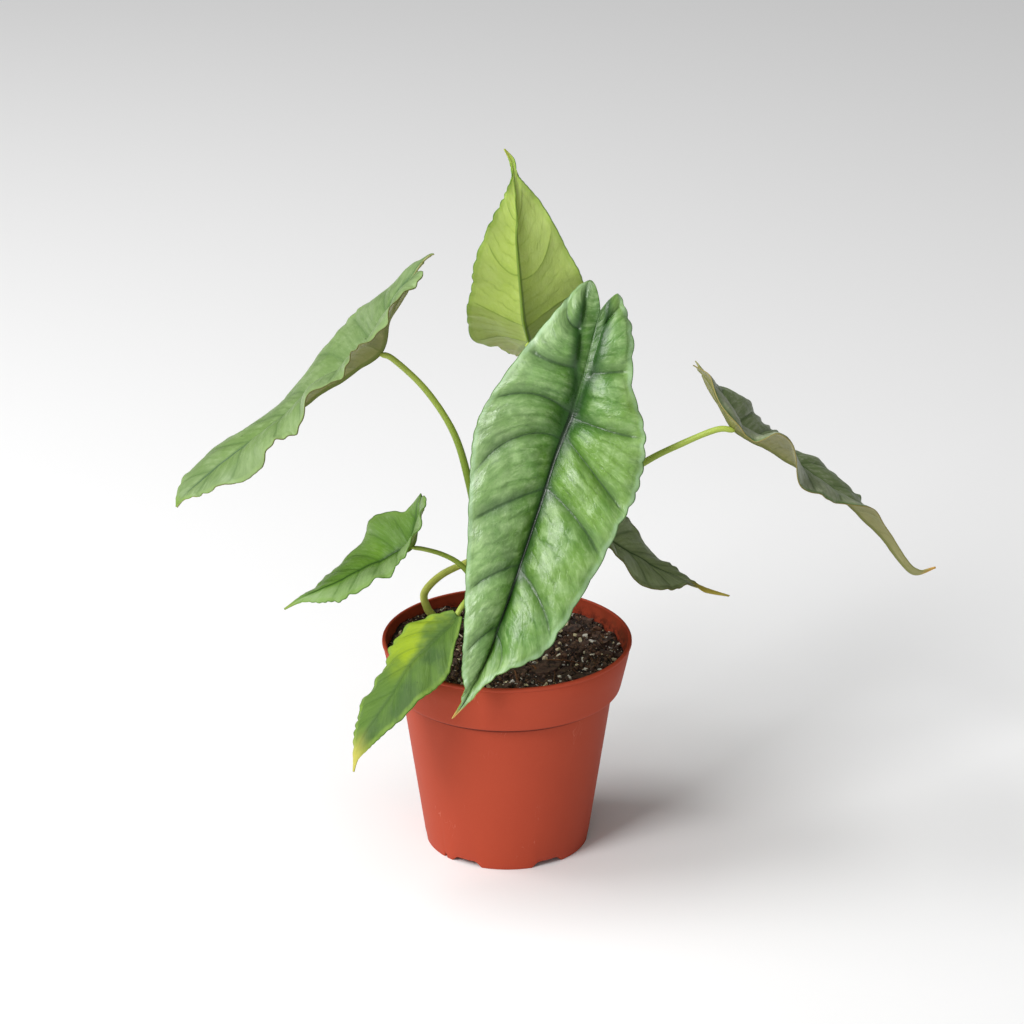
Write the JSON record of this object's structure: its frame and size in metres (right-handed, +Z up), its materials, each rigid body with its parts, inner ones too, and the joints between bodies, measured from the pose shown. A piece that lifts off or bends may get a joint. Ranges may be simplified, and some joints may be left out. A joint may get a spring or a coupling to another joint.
{
  "type": "potted alocasia",
  "caption": "Small potted alocasia with arrow-shaped quilted leaves on slender stalks, growing in a round tapered nursery pot.",
  "frame": {"origin": "centre of the pot's underside, on the plane of its feet", "axes": "+Z up along the pot's axis, -Y towards the viewer of the picture, +X to the viewer's right"},
  "size_m": [0.3161, 0.1262, 0.3002],
  "materials": {
    "pot_plastic": "matt terracotta-red moulded plastic",
    "potting_mix": "crumbly dark peat with bark and white perlite",
    "crown_tissue": "papery old sheaths",
    "stalk_tissue": "smooth waxy yellow-green",
    "leaf_front": "quilted waxy leaf, satin",
    "leaf_left": "quilted waxy leaf, satin",
    "leaf_top": "quilted waxy leaf, satin",
    "leaf_right": "quilted waxy leaf, satin",
    "leaf_rear": "quilted waxy leaf, satin",
    "leaf_small": "quilted waxy leaf, satin",
    "leaf_low": "quilted waxy leaf, satin"
  },
  "bodies": {
    "root": {"pot": "pot_plastic", "soil": "potting_mix", "crown": "crown_tissue", "sprout": "stalk_tissue", "blade_front": "leaf_front", "petiole_front": "stalk_tissue", "blade_left": "leaf_left", "petiole_left": "stalk_tissue", "blade_top": "leaf_top", "petiole_top": "stalk_tissue", "blade_right": "leaf_right", "petiole_right": "stalk_tissue", "blade_rear": "leaf_rear", "petiole_rear": "stalk_tissue", "blade_small": "leaf_small", "petiole_small": "stalk_tissue", "blade_low": "leaf_low", "petiole_low": "stalk_tissue"}
  },
  "joints": []
}
